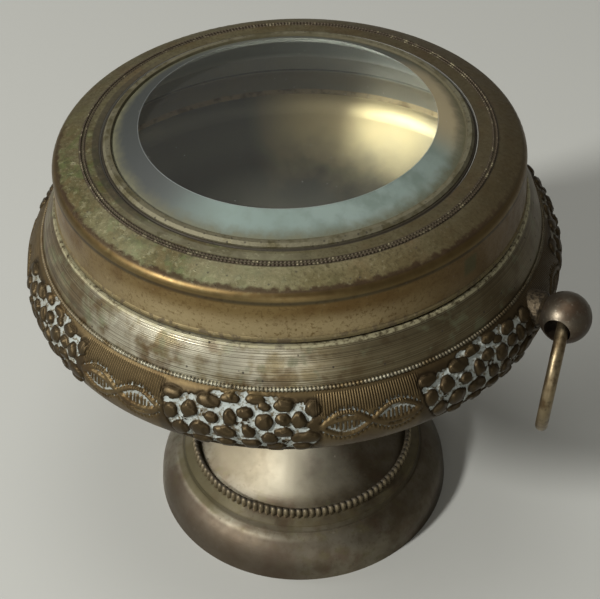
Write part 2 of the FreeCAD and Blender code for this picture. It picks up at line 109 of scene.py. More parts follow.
# The petals of one flower cluster: along the girdle from the cluster's middle, up from the
# widest line, half length and half height
PETALS = [(-15.1, 6.8, 2.3, 1.3), (-14.9, 2.6, 1.5, 2.0), (-10.7, 4.3, 1.8, 2.0),
          (-6.6, 6.9, 2.9, 1.5), (-5.6, 3.2, 1.6, 1.4), (-1.8, 8.2, 2.3, 1.1),
          (-1.6, 3.8, 1.5, 2.1), (-2.9, -0.2, 2.6, 1.8), (-8.2, -0.4, 2.4, 2.2),
          (3.7, 8.4, 2.4, 1.0), (1.7, 5.4, 1.9, 1.3), (2.5, 0.6, 1.5, 1.6),
          (5.8, 6.9, 1.5, 0.9), (5.8, 3.4, 2.0, 2.1), (10.1, 7.3, 2.3, 1.4),
          (9.9, 4.2, 1.7, 1.5), (13.2, 4.0, 1.5, 2.0), (9.9, 0.9, 2.0, 1.3),
          (6.9, -1.2, 1.7, 2.0), (16.3, 6.5, 1.6, 1.7), (14.4, -0.8, 3.2, 1.6),
          (-12.7, -1.5, 1.9, 2.0), (-8.1, -4.5, 2.4, 1.4), (-2.8, -4.0, 2.3, 1.4),
          (2.8, -3.5, 2.2, 1.6), (8.2, -4.4, 2.2, 1.5), (13.6, -4.2, 2.1, 1.3)]
cluster_half = 17.6
cluster_low = -5.4

# The pair of crossing ribbons between two clusters, and the rope under them
scroll_middle_level = 1.9      # above the widest line
scroll_swing = 2.9
scroll_inner_share = 0.5
leaf_recess_share = 0.7        # depth of the leaf-shaped hollows, as a share of relief_recess
ribbon_half_width = 0.5
ribbon_rise = 0.3
ribbon_sink = 0.12
ribbon_groove_width = 0.2
ribbon_groove_depth = 0.42
tick_pitch = 0.95
tick_depth = 0.45
inner_tick_rise = 0.4
rope_pitch = 1.3
rope_depth = 0.3

# Beaded wires
top_bead_count = 450
top_bead_depth = 0.3
lid_beading_radius = 46.9
lid_beading_gap = 0.8
lid_beading_wire = 0.34
lid_beading_sink = 0.16        # how far under the lid's top the wires' middle lies
lid_bead_count = 360
lid_bead_depth = 0.2
foot_bead_count = 110
foot_bead_swell = 0.9
foot_bead_fullness = 0.6       # below 1, the bars are broader and the gaps between them narrower
foot_bead_crown = 0.45         # height of the bars' rounded top, as a share of their height
foot_bead_dip = 0.15           # how far the gaps lie under the bars' tops, the same way
columns_per_bead = 6
columns_per_foot_bead = 10


def mesh_points(node):
    """Vertices of a CAD node as an array in millimetres."""
    mesh = NODES[node].data
    found = np.zeros(len(mesh.vertices) * 3)
    mesh.vertices.foreach_get("co", found)
    return found.reshape(-1, 3) / MM


def node_radii(node):
    """Distances of a CAD node's vertices from the object's axis."""
    points = mesh_points(node)
    return np.hypot(points[:, 0], points[:, 1])


def node_levels(node):
    """Lowest and highest level of a CAD node."""
    low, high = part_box(node)
    return low.z / MM, high.z / MM


# Sizes read from the frame
belt_bottom, belt_top = node_levels("girdle_band")
bead_low, bead_high = node_levels("girdle_top_bead")
top_bead_wire = (bead_high - bead_low) / 2
top_bead_radius = node_radii("girdle_top_bead").max() - top_bead_wire
lid_radius = node_radii("lid_shell").max()
lid_top = node_levels("lid_shell")[1]
lid_foot = node_levels("lid_rolled_edge")[0]
seat_level = lid_foot - 0.15   # where the lid rests on the shoulder
bowl_bottom = node_levels("lower_bowl")[0]
glass_base = node_levels("lid_glass")[0]
glass_rim = node_radii("lid_glass").max()
glass_flat = glass_rim - 7.1   # inner radius of the bevel
ball_low, ball_high = node_levels("knob_right")
ball_size = ball_high - ball_low
# What radius less level comes to at the middle of a ball knob
ball_line = node_radii("knob_right").max() - ball_size / 2 - (ball_high + ball_low) / 2

# Where a finish sets in and where it is full: levels, or radii where the name says so
lid_top_reach = (lid_top - 4.2, lid_top - 3.0)
lid_fall_radii = (47.2, 50.5)
lid_edge_radii = (53.1, 53.7)
lid_crease_radii = (53.0, 53.6)
lid_wall_reach = (lid_top - 4.6, lid_top - 5.4)
lid_wall_low = (lid_foot + 7.5, lid_foot + 2.0)
lid_foot_crust = (lid_foot + 3.0, lid_foot + 0.6)
lid_foot_line = (lid_foot + 1.9, lid_foot + 1.2)
neck_rim_reach = (lid_top - 6.6, lid_top - 6.2)
lit_seat_line_reach = (seat_level - 0.6, seat_level - 0.3)
lit_seat_line_radii = (lid_radius - 0.1, lid_radius + 0.15)
under_shoulder = (seat_level + 0.5, seat_level - 1.5)
foot_step_reach = (10.6, 11.2)
foot_roll_reach = (10.8, 9.8)
stem_reach = (14.5, 17.0)
foot_bead_radii = (30.1, 29.6)
bowl_side_reach = (bowl_bottom + 14, bowl_bottom + 20)
bowl_light_pool_reach = (bowl_bottom + 14, bowl_bottom + 27)
bezel_inside_radii = (41.5, 40.9)
ball_shade_reach = (ball_line - 1.0, ball_line + 6.0)
bevel_radii = (glass_flat - 0.15, glass_flat + 0.15)
bevel_reach = (glass_base + 0.8, glass_base + 1.2)
glass_rim_radii = (glass_rim - 2.6, glass_rim + 0.8)

# Strips of a finish: middle, half width and soft edge, as levels or radii
lid_edge = (lid_top - 3.0, 0.9, 0.6)
lid_edge_line_radii = (53.2, 0.3, 1.0)
lid_crease = (lid_top - 4.7, 0.35, 0.5)
lid_groove_radii = (42.75, 0.42, 0.15)
lid_groove_dirt_radii = (43.4, 1.1, 0.5)
lid_sheen_ring_radii = (44.9, 0.8, 0.4)
lid_beading_radii = (lid_beading_radius, 0.75, 0.2)
lid_painted_wall_sheen = (lid_foot + 3.6, 0.6, 4.0)
lid_stain = (107.0, 1.4, 1.6)
hatch_strip = (6.4, 1.6, 0.4)  # above the widest line
foot_step_radii = (32.9, 0.35, 0.35)
foot_ledge_radii = (31.4, 1.0, 0.4)
foot_ledge = (13.0, 0.9, 0.3)
foot_ledge_highlight_shade = (12.4, 1.6, 0.4)


def linear(red, green, blue):
    """A display colour, 0 to 255, as the linear colour that shaders take."""
    parts = []
    for value in (red, green, blue):
        share = value / 255
        parts.append(share / 12.92 if share <= 0.04045 else ((share + 0.055) / 1.055) ** 2.4)
    return (*parts, 1.0)


class Finish:
    """One node-built material: a base surface with layers of tarnish, grime and wear over it."""

    def __init__(self, name, colour, metallic, roughness):
        self.material = bpy.data.materials.new(name)
        self.material.use_nodes = True
        self.tree = self.material.node_tree
        self.shader = self.tree.nodes["Principled BSDF"]
        self.colour = linear(*colour)
        self.metallic = metallic
        self.roughness = roughness
        self.relief = None
        coordinates = self.node("ShaderNodeTexCoord")
        self.texture_normal = coordinates.outputs["Normal"]
        scaled = self.node("ShaderNodeVectorMath", operation="SCALE")
        self.set(scaled.inputs[0], coordinates.outputs["Object"])
        scaled.inputs["Scale"].default_value = 1 / MM
        self.place = scaled.outputs[0]
        split = self.node("ShaderNodeSeparateXYZ")
        self.set(split.inputs[0], self.place)
        self.x, self.y, self.height = split.outputs
        self.radius = self.length(self.x, self.y)

    def node(self, kind, **settings):
        made = self.tree.nodes.new(kind)
        for key, value in settings.items():
            setattr(made, key, value)
        return made

    def set(self, socket, value):
        """Gives a socket a constant, or links it to another socket."""
        if isinstance(value, bpy.types.NodeSocket):
            self.tree.links.new(value, socket)
        else:
            socket.default_value = value

    def math(self, operation, a, b=0.0):
        made = self.node("ShaderNodeMath", operation=operation)
        self.set(made.inputs[0], a)
        self.set(made.inputs[1], b)
        return made.outputs[0]

    def length(self, a, b):
        """Length of the vector with the parts a and b."""
        squares = [self.math("MULTIPLY", part, part) for part in (a, b)]
        return self.math("SQRT", self.math("ADD", *squares))

    def ramp(self, value, low, high):
        """0 at low, 1 at high, smooth between; low may be the larger."""
        made = self.node("ShaderNodeMapRange", interpolation_type="SMOOTHSTEP")
        flip = low > high
        self.set(made.inputs["Value"], value)
        self.set(made.inputs["From Min"], min(low, high))
        self.set(made.inputs["From Max"], max(low, high))
        made.inputs["To Min"].default_value = 1.0 if flip else 0.0
        made.inputs["To Max"].default_value = 0.0 if flip else 1.0
        return made.outputs["Result"]

    def band(self, value, middle, half_width, soft):
        """1 within half_width of middle, falling to 0 over soft."""
        off = self.math("ABSOLUTE", self.math("SUBTRACT", value, middle))
        return self.ramp(off, half_width + soft, half_width)

    def both(self, *masks):
        made = masks[0]
        for mask in masks[1:]:
            made = self.math("MULTIPLY", made, mask)
        return made

    def either(self, *masks):
        made = masks[0]
        for mask in masks[1:]:
            made = self.math("MAXIMUM", made, mask)
        return made

    def facing(self, degrees, low, high):
        """1 on the side that lies in a direction, ramped by the cosine of the angle to it."""
        angle = math.radians(degrees)
        along = self.math("ADD", self.math("MULTIPLY", self.x, math.cos(angle)),
                          self.math("MULTIPLY", self.y, math.sin(angle)))
        cosine = self.math("DIVIDE", along, self.math("ADD", self.radius, 0.01))
        return self.ramp(cosine, low, high)

    def shifted(self, shift, scale=1.0):
        """The place on the surface, moved and scaled for a texture."""
        mapped = self.node("ShaderNodeMapping")
        self.set(mapped.inputs["Vector"], self.place)
        mapped.inputs["Location"].default_value = shift
        mapped.inputs["Scale"].default_value = (scale, scale, scale)
        return mapped.outputs[0]

    def noise(self, size, detail, roughness=0.55, seed=0.0):
        """Noise whose blotches are about size millimetres across."""
        place = self.shifted((seed * 3.7, seed * 1.9, seed * 2.3), 1 / size)
        made = self.node("ShaderNodeTexNoise")
        self.set(made.inputs["Vector"], place)
        made.inputs["Scale"].default_value = 1.0
        made.inputs["Detail"].default_value = detail
        made.inputs["Roughness"].default_value = roughness
        return made.outputs[0]

    def patches(self, size, low, high, **grain):
        """Blotches about size millimetres across, where noise goes from low to high."""
        return self.ramp(self.noise(size, **grain), low, high)

    def lathe_noise(self, spacing, seed=0.0, detail=2.0):
        """Noise in rings round the axis, spacing millimetres apart."""
        joined = self.node("ShaderNodeCombineXYZ")
        along = self.math("ADD", self.math("MULTIPLY", self.radius, 1 / spacing), seed)
        self.set(joined.inputs[0], along)
        self.set(joined.inputs[1], self.math("MULTIPLY", self.height, 1 / spacing))
        self.set(joined.inputs[2], self.math("MULTIPLY", self.x, 0.02))
        made = self.node("ShaderNodeTexNoise")
        self.set(made.inputs["Vector"], joined.outputs[0])
        made.inputs["Scale"].default_value = 1.0
        made.inputs["Detail"].default_value = detail
        return made.outputs[0]

    def specks(self, spacing, edge, core, seed=0.0):
        """Scattered round specks, spacing millimetres apart, with radii as shares of that."""
        place = self.shifted((seed * 5.1, seed * 2.7, seed))
        made = self.node("ShaderNodeTexVoronoi")
        self.set(made.inputs["Vector"], place)
        made.inputs["Scale"].default_value = 1 / spacing
        return self.ramp(made.outputs["Distance"], edge, core)

    def inward(self):
        """1 where a surface faces the axis."""
        normal = self.node("ShaderNodeSeparateXYZ")
        self.set(normal.inputs[0], self.texture_normal)
        along = self.math("ADD", self.math("MULTIPLY", normal.outputs[0], self.x),
                          self.math("MULTIPLY", normal.outputs[1], self.y))
        outward = self.math("DIVIDE", along, self.math("ADD", self.radius, 0.01))
        return self.ramp(outward, -0.05, -0.3)

    def layer(self, mask, colour, roughness=None, metallic=None, amount=1.0):
        """Mixes a colour, and its roughness and metal if given, over what is there."""
        if amount != 1.0:
            mask = self.math("MULTIPLY", mask, amount)
        mix = self.node("ShaderNodeMix", data_type="RGBA")
        self.set(mix.inputs[0], mask)
        self.set(mix.inputs[6], self.colour)
        self.set(mix.inputs[7], linear(*colour))
        self.colour = mix.outputs[2]
        for key, value in (("roughness", roughness), ("metallic", metallic)):
            if value is None:
                continue
            mix = self.node("ShaderNodeMix", data_type="FLOAT")
            self.set(mix.inputs[0], mask)
            self.set(mix.inputs[2], getattr(self, key))
            self.set(mix.inputs[3], value)
            setattr(self, key, mix.outputs[0])

    def vary_roughness(self, value, amount):
        centred = self.math("MULTIPLY", self.math("SUBTRACT", value, 0.5), amount)
        self.roughness = self.math("ADD", self.roughness, centred)

    def raise_by(self, value, millimetres):
        """Adds to the surface's fine relief."""
        step = self.math("MULTIPLY", value, millimetres)
        self.relief = step if self.relief is None else self.math("ADD", self.relief, step)

    def done(self):
        """Links all that was gathered to the shader."""
        if self.relief is not None:
            bump = self.node("ShaderNodeBump")
            bump.inputs["Distance"].default_value = MM
            bump.inputs["Strength"].default_value = 1.0
            self.set(bump.inputs["Height"], self.relief)
            self.set(self.shader.inputs["Normal"], bump.outputs[0])
        self.set(self.shader.inputs["Base Color"], self.colour)
        self.set(self.shader.inputs["Metallic"], self.metallic)
        self.set(self.shader.inputs["Roughness"], self.roughness)
        return self.material


def lid_finish():
    """Mottled olive brass: green at the left, a bright rounded edge and a warmer wall, with
    painted sheen towards the front on the top and low on the wall, and painted shade on the right
    and in the crease under the edge.
    """
    finish = Finish("tarnished lid brass", (126, 118, 88), 0.86, 0.42)
    cloud = finish.noise(14, detail=4, seed=1)
    finish.layer(finish.ramp(cloud, 0.42, 0.68), (104, 92, 62), roughness=0.52)
    finish.layer(finish.patches(9, 0.5, 0.75, detail=3, seed=2), (122, 92, 62), amount=0.45)
    fine = finish.noise(1.3, detail=4, seed=3)
    finish.layer(finish.ramp(fine, 0.48, 0.72), (84, 76, 54), roughness=0.55, amount=0.55)

    top = finish.ramp(finish.height, *lid_top_reach)
    fall = finish.both(finish.ramp(finish.radius, *lid_fall_radii), top)
    finish.layer(fall, (90, 80, 50), roughness=0.52, amount=0.6)
    finish.layer(finish.both(fall, finish.facing(FRONT_LEFT + 8, 0.55, 0.95)), (78, 76, 46),
                 roughness=0.6, amount=0.6)
    mottle = finish.noise(0.8, detail=5, roughness=0.65, seed=19)
    finish.layer(finish.both(finish.ramp(mottle, 0.5, 0.66), top), (66, 58, 36),
                 roughness=0.65, amount=0.55)
    finish.layer(finish.both(finish.ramp(mottle, 0.44, 0.32), top), (140, 134, 108), amount=0.4)
    left = finish.facing(FRONT_LEFT - 6, 0.45, 0.95)
    green = finish.both(finish.patches(4.5, 0.46, 0.64, detail=6, seed=4), left, top)
    finish.layer(green, (74, 84, 42), roughness=0.6, metallic=0.5, amount=0.8)
    flecks = finish.noise(1.5, detail=6, roughness=0.7, seed=34)
    finish.layer(finish.both(finish.ramp(flecks, 0.52, 0.6), left, top), (54, 52, 27),
                 roughness=0.62, metallic=0.6, amount=0.6)
    finish.layer(finish.both(finish.ramp(flecks, 0.44, 0.38), left, top), (156, 150, 118),
                 amount=0.35)
    rust = finish.patches(3.6, 0.52, 0.62, detail=6, roughness=0.65, seed=30)
    finish.layer(finish.both(rust, left, top), (96, 82, 52), roughness=0.55, metallic=0.8,
                 amount=0.6)
    # Painted sheen: the top is painted paler towards the front left, where the key lamp's
    # highlight lies
    painted_top_sheen = finish.both(top, finish.facing(FRONT - 28, 0.8, 0.99), finish.ramp(cloud, 0.7, 0.4))
    finish.layer(painted_top_sheen, (146, 142, 112), roughness=0.5, amount=0.4)
    # Painted sheen: a paler ring on the top, only towards the front left
    ring = finish.both(top, finish.band(finish.radius, *lid_sheen_ring_radii),
                       finish.facing(FRONT - 24, 0.8, 0.98))
    finish.layer(ring, (146, 140, 114), roughness=0.5, amount=0.6)
    pale = finish.both(finish.patches(1.6, 0.59, 0.69, detail=5, seed=5), left, top)
    finish.layer(pale, (122, 122, 94), roughness=0.8, metallic=0.1, amount=0.4)
    finish.layer(finish.specks(2.6, 0.14, 0.05, seed=2), GRIME, roughness=0.8, metallic=0.2,
                 amount=0.7)
    blotch = finish.patches(3.2, 0.53, 0.64, detail=6, roughness=0.6, seed=29)
    finish.layer(finish.both(top, blotch), (90, 84, 56), roughness=0.58, amount=0.5)
    # Painted shade on the right side, away from the lamps
    finish.layer(finish.facing(RIGHT + 10, -0.1, 0.9), (76, 62, 44), amount=0.55)

    wobble = finish.noise(1.7, detail=6, seed=7)
    wobble = finish.math("MULTIPLY", finish.math("SUBTRACT", wobble, 0.5), 3.0)
    line = finish.band(finish.math("ADD", finish.radius, wobble), *lid_edge_line_radii)
    front = finish.facing(FRONT - 20, -0.2, 0.5)
    broken = finish.patches(7, 0.26, 0.38, detail=4, seed=18)
    finish.layer(finish.both(line, front, top, broken), (56, 40, 26), roughness=0.6,
                 metallic=0.85, amount=0.85)
    edge = finish.both(finish.band(finish.height, *lid_edge),
                       finish.ramp(finish.radius, *lid_edge_radii))
    finish.layer(edge, (100, 82, 50), roughness=0.38, metallic=1.0, amount=0.8)
    # Painted shade in the crease under the rounded edge
    crease = finish.both(finish.band(finish.height, *lid_crease),
                         finish.ramp(finish.radius, *lid_crease_radii))
    finish.layer(crease, (48, 34, 16), roughness=0.5, amount=0.75)
    groove = finish.both(finish.band(finish.radius, *lid_groove_radii), top)
    finish.layer(groove, (38, 31, 20), roughness=0.7, metallic=0.3, amount=0.9)
    dirt = finish.both(finish.band(finish.radius, *lid_groove_dirt_radii), top,
                       finish.facing(LEFT, 0.4, 0.9))
    finish.layer(dirt, (44, 38, 26), roughness=0.65, metallic=0.4, amount=0.8)
    beading = finish.both(finish.band(finish.radius, *lid_beading_radii), top)
    finish.layer(beading, (56, 48, 34), roughness=0.6, metallic=0.5, amount=0.75)

    wall = finish.ramp(finish.height, *lid_wall_reach)
    finish.layer(wall, (120, 98, 58), roughness=0.42, amount=0.85)
    finish.layer(finish.both(wall, finish.patches(11, 0.46, 0.66, detail=4, seed=17)),
                 (92, 68, 34), amount=0.7)
    grain = finish.ramp(mottle, 0.5, 0.62)
    finish.layer(finish.both(wall, grain), (84, 64, 34), roughness=0.5, amount=0.4)
    lower = finish.both(finish.ramp(finish.height, *lid_wall_low), finish.ramp(cloud, 0.4, 0.6))
    finish.layer(lower, (142, 126, 92), roughness=0.38, amount=0.6)
    # Painted sheen: a paler band low on the wall's front, standing in for the floor's reflection
    painted_wall_sheen = finish.both(finish.band(finish.height, *lid_painted_wall_sheen),
                        finish.facing(FRONT - 8, 0.7, 0.97), finish.ramp(mottle, 0.7, 0.5))
    finish.layer(painted_wall_sheen, (174, 158, 120), roughness=0.42, amount=0.6)
    shade = finish.both(wall, finish.facing(FRONT_RIGHT + 22, 0.55, 0.95))
    finish.layer(shade, (66, 48, 24), amount=0.6)
    crust = finish.both(finish.patches(1.7, 0.5, 0.62, detail=5, seed=9),
                        finish.ramp(finish.height, *lid_foot_crust))
    finish.layer(finish.ramp(finish.height, *lid_foot_line), (110, 99, 70), roughness=0.75)
    finish.layer(crust, (66, 54, 34), roughness=0.8, metallic=0.3, amount=0.9)
    stain = finish.both(finish.band(finish.height, *lid_stain),
                        finish.facing(STAIN, 0.9988, 0.9996))
    finish.layer(stain, (58, 58, 26), roughness=0.6, metallic=0.4, amount=0.75)
    finish.layer(finish.inward(), TINNED, roughness=0.7, metallic=0.35, amount=0.95)

    finish.vary_roughness(finish.noise(3, detail=4, seed=6), 0.3)
    finish.raise_by(finish.lathe_noise(0.35), 0.012)
    finish.raise_by(finish.noise(26, detail=1, seed=8), 0.5)
    off_edge = finish.math("SUBTRACT", 1.0, edge)
    finish.raise_by(finish.both(fine, off_edge), 0.03)
    finish.raise_by(finish.both(mottle, off_edge), 0.05)
    finish.raise_by(finish.both(crust, fine), 0.1)
    finish.raise_by(finish.both(pale, fine, off_edge), 0.12)
    return finish.done()


def shoulder_finish():
    """Fine turning lines under brown and green tarnish, with a painted highlight towards the
    front left, painted shade on the right, a painted lit line along the lid's seat and the inside
    under the seat painted lighter.
    """
    finish = Finish("lathe-lined shoulder brass", (138, 126, 96), 0.9, 0.36)
    finish.layer(finish.patches(12, 0.45, 0.7, detail=4, seed=11), (108, 92, 62), roughness=0.45)
    left = finish.facing(LEFT + 10, 0.2, 0.9)
    finish.layer(finish.both(left, finish.patches(8, 0.35, 0.55, detail=5, seed=15)),
                 (98, 80, 54), roughness=0.46, amount=0.8)
    finish.layer(finish.both(left, finish.patches(4.5, 0.5, 0.62, detail=6, seed=38)),
                 (84, 92, 60), roughness=0.6, metallic=0.5, amount=0.6)
    # Painted highlight on the shoulder towards the front left
    bright = finish.both(finish.facing(FRONT - 24, 0.82, 0.98),
                         finish.patches(6, 0.36, 0.56, detail=4, seed=36))
    finish.layer(bright, (196, 192, 172), roughness=0.34, amount=0.65)
    brown = finish.patches(5, 0.5, 0.66, detail=5, seed=37)
    finish.layer(brown, (92, 72, 48), roughness=0.46, amount=0.65)
    # Painted shade on the right side, away from the lamps
    finish.layer(finish.facing(RIGHT - 22, 0.2, 0.9), (74, 64, 45), roughness=0.46, amount=0.7)
    green = finish.patches(4, 0.54, 0.68, detail=6, seed=12)
    finish.layer(green, (92, 100, 72), roughness=0.6, metallic=0.4, amount=0.5)
    lines = finish.lathe_noise(0.2, seed=3, detail=1)
    finish.layer(finish.ramp(lines, 0.42, 0.66), (70, 62, 46), roughness=0.5, amount=0.7)
    finish.layer(finish.ramp(lines, 0.4, 0.26), (150, 146, 126), roughness=0.45, amount=0.3)
    # Painted light: a pale line on the ledge under the lid's foot, towards the front, in place of
    # the lid's contact shadow
    lit_seat_line = finish.both(finish.ramp(finish.height, *lit_seat_line_reach),
                       finish.ramp(finish.radius, *lit_seat_line_radii),
                       finish.facing(FRONT, -0.4, 0.3),
                       finish.patches(1.3, 0.34, 0.56, detail=5, roughness=0.65, seed=16))
    finish.layer(lit_seat_line, (158, 152, 120), roughness=0.7, metallic=0.3, amount=0.75)
    finish.layer(finish.specks(3.2, 0.12, 0.04, seed=5), GRIME, roughness=0.8, metallic=0.2)
    inside = finish.either(finish.inward(), finish.ramp(finish.height, *neck_rim_reach))
    finish.layer(inside, TINNED, roughness=0.7, metallic=0.35, amount=0.95)
    # Tin inside under the seat, painted lighter to stand in for light reaching this shaded band
    under = finish.both(finish.inward(), finish.ramp(finish.height, *under_shoulder))
    finish.layer(under, (160, 155, 142), roughness=0.7, metallic=0.3, amount=0.9)
    finish.vary_roughness(finish.noise(4, detail=3, seed=13), 0.25)
    finish.raise_by(lines, 0.05)
    finish.raise_by(finish.noise(22, detail=1, seed=14), 0.4)
    return finish.done()


def girdle_finish():
    """Brown metal on what stands up, pale residue in what lies deep, thinned away from the front
    as painted shade, painted shade on the petals' flanks and the right side, and dull tin inside
    painted lighter.
    """
    finish = Finish("embossed girdle brass", (88, 74, 48), 0.85, 0.5)
    finish.layer(finish.patches(9, 0.42, 0.7, detail=4, seed=21), (72, 56, 32), roughness=0.54)
    finish.layer(finish.patches(3, 0.55, 0.75, detail=3, seed=22), (112, 96, 64), amount=0.45)
    out = finish.math("SUBTRACT", finish.radius, section_centre)
    up = finish.math("SUBTRACT", finish.height, belt_level)
    depth = finish.math("SUBTRACT", section_radius, finish.length(out, up))
    outside = finish.ramp(depth, belt_thickness + 0.1, belt_thickness - 0.1)
    angle = finish.math("ARCTAN2", finish.y, finish.x)
    turn = finish.math("SUBTRACT", angle, math.radians(first_cluster))
    turn = finish.math("MULTIPLY", turn, repeats)
    between = finish.ramp(finish.math("COSINE", turn), -0.2, -0.4)
    among = finish.both(finish.ramp(finish.math("COSINE", turn), -0.45, -0.3),
                        finish.ramp(up, 8.2, 7.6))
    hatch = finish.math("SINE", finish.math("MULTIPLY", angle, hatch_count))
    hatched = finish.both(finish.band(up, *hatch_strip), outside, between)
    finish.layer(hatched, (84, 70, 44), roughness=0.5, amount=0.6)
    finish.layer(finish.both(finish.ramp(hatch, -0.2, 0.7), hatched), (48, 38, 22),
                 roughness=0.6, amount=0.5)
    # Painted shade on the right side, away from the lamps
    finish.layer(finish.facing(RIGHT - 8, 0.1, 0.95), (52, 42, 26), amount=0.6)
    deep = finish.both(finish.ramp(depth, 0.3, 0.5), outside)
    crust = finish.patches(1.2, 0.4, 0.52, detail=6, roughness=0.7, seed=23)
    finish.layer(deep, (88, 80, 60), roughness=0.8, metallic=0.1, amount=0.9)
    # The pale residue in the deep ground is real; it is thinned away from the front, which paints
    # shade on the far sides
    front = finish.facing(FRONT - 6, 0.0, 0.95)
    residue_and_side_shade = finish.math("ADD", finish.math("MULTIPLY", front, 0.75), 0.2)
    finish.layer(finish.both(deep, crust, residue_and_side_shade), (154, 160, 154), roughness=0.9, metallic=0.0)
    petal = finish.both(finish.ramp(depth, 0.1, -0.1), among, outside)
    finish.layer(petal, (56, 46, 29), roughness=0.46, amount=0.8)
    # Painted shade on the petals' flanks, round their lit tops
    petal_flank_shade = finish.both(finish.ramp(depth, -0.1, 0.1), finish.ramp(depth, 0.44, 0.3), among,
                        outside)
    finish.layer(petal_flank_shade, (40, 31, 17), roughness=0.62, amount=0.8)
    # Tin inside the band, painted lighter to stand in for light reaching this shaded side
    inner_side = finish.ramp(depth, belt_thickness - 0.3, belt_thickness - 0.1)
    finish.layer(inner_side, (158, 150, 132), roughness=0.65, metallic=0.4, amount=0.95)
    finish.raise_by(finish.both(hatch, hatched), 0.07)
    finish.raise_by(finish.noise(1.1, detail=4, seed=26), 0.05)
    finish.vary_roughness(finish.noise(3, detail=3, seed=27), 0.25)
    return finish.done()


def top_bead_finish():
    """Pale where it is worn, dark in patches, darker towards the left, and with painted shade
    towards the right.
    """
    finish = Finish("worn milled wire", (150, 146, 126), 0.8, 0.45)
    finish.layer(finish.patches(5, 0.45, 0.65, detail=4, seed=31), (104, 88, 58), roughness=0.5)
    finish.layer(finish.patches(0.8, 0.5, 0.68, detail=3, seed=32), (48, 40, 26),
                 roughness=0.6, amount=0.7)
    # Painted shade towards the right
    finish.layer(finish.facing(RIGHT - 12, 0.1, 0.9), (62, 52, 34), roughness=0.55, amount=0.85)
    finish.layer(finish.facing(LEFT + 4, 0.6, 0.95), (88, 74, 50), roughness=0.6, amount=0.85)
    return finish.done()


def lid_beading_finish():
    """Dark dirt with brass worn bright in patches."""
    finish = Finish("dark beaded line", (58, 48, 34), 0.6, 0.5)
    finish.layer(finish.patches(2.0, 0.52, 0.7, detail=4, seed=35), (120, 112, 86),
                 roughness=0.45, amount=0.8)
    return finish.done()


def foot_finish():
    """Smooth dark metal with brown patches and an olive ledge, painted shade on the right, in the
    step and where the key lamp's highlight falls on the ledge and roll, and a painted lit side
    and highlight on the stem.
    """
    finish = Finish("dark foot brass", (132, 125, 108), 0.92, 0.41)
    cloud = finish.noise(10, detail=4, seed=41)
    finish.layer(finish.ramp(cloud, 0.4, 0.68), (98, 88, 70), roughness=0.42)
    finish.layer(finish.patches(6, 0.56, 0.7, detail=5, seed=42), (130, 128, 110),
                 roughness=0.42, amount=0.7)
    finish.layer(finish.specks(3.0, 0.13, 0.05, seed=7), GRIME, roughness=0.8, metallic=0.2,
                 amount=0.45)
    finish.layer(finish.patches(7, 0.5, 0.66, detail=5, seed=47), (100, 78, 64), amount=0.5)
    finish.layer(finish.patches(1.4, 0.5, 0.66, detail=5, roughness=0.65, seed=48),
                 (86, 76, 58), roughness=0.5, amount=0.4)
    finish.layer(finish.patches(3.5, 0.54, 0.66, detail=5, seed=49), (110, 104, 74),
                 roughness=0.5, amount=0.45)
    # Painted shade on the right side, away from the lamps
    finish.layer(finish.facing(RIGHT, 0.0, 0.95), (56, 46, 32), roughness=0.4, amount=0.7)
    # Painted shade in the step between the ledge and the roll
    step = finish.both(finish.band(finish.radius, *foot_step_radii),
                       finish.ramp(finish.height, *foot_step_reach))
    finish.layer(step, (66, 58, 42), roughness=0.6, amount=0.6)
    ledge = finish.both(finish.band(finish.radius, *foot_ledge_radii),
                        finish.band(finish.height, *foot_ledge), finish.ramp(cloud, 0.62, 0.4))
    finish.layer(ledge, (104, 96, 68), roughness=0.55, amount=0.55)
    # Painted shade: the ledge is darkened and dulled towards the front left, where the key lamp's
    # highlight falls
    tarnish = finish.both(finish.band(finish.height, *foot_ledge_highlight_shade),
                          finish.facing(FRONT - 64, 0.86, 0.98))
    finish.layer(tarnish, (82, 76, 54), roughness=0.62, amount=0.8)
    # Painted shade: the roll is darkened and dulled towards the front left, where the key lamp's
    # highlight falls
    roll = finish.both(finish.ramp(finish.height, *foot_roll_reach),
                       finish.facing(FRONT - 38, 0.55, 0.92))
    finish.layer(roll, (76, 66, 54), roughness=0.58, amount=0.85)
    stem = finish.ramp(finish.height, *stem_reach)
    # Painted light: the stem's front-left side, towards the key lamp, is painted paler and duller
    finish.layer(finish.both(stem, finish.facing(FRONT - 42, 0.6, 0.9)), (150, 140, 116),
                 roughness=0.7, metallic=0.6, amount=0.75)
    # Painted highlight down the front of the stem
    finish.layer(finish.both(stem, finish.facing(FRONT + 2, 0.75, 1.0)), (186, 180, 160),
                 roughness=0.4, amount=0.45)
    finish.vary_roughness(finish.noise(3, detail=3, seed=43), 0.22)
    finish.raise_by(finish.lathe_noise(0.4, seed=9), 0.012)
    finish.raise_by(finish.noise(15, detail=1, seed=44), 0.45)
    return finish.done()


def foot_beading_finish():
    """Dull bars, darker deep in the gaps between them."""
    finish = Finish("upright foot beads", (122, 111, 88), 0.8, 0.52)
    finish.layer(finish.ramp(finish.radius, *foot_bead_radii), (56, 49, 36), roughness=0.65,
                 metallic=0.4)
    finish.layer(finish.patches(3, 0.5, 0.68, detail=3, seed=46), (84, 73, 53), amount=0.7)
    return finish.done()


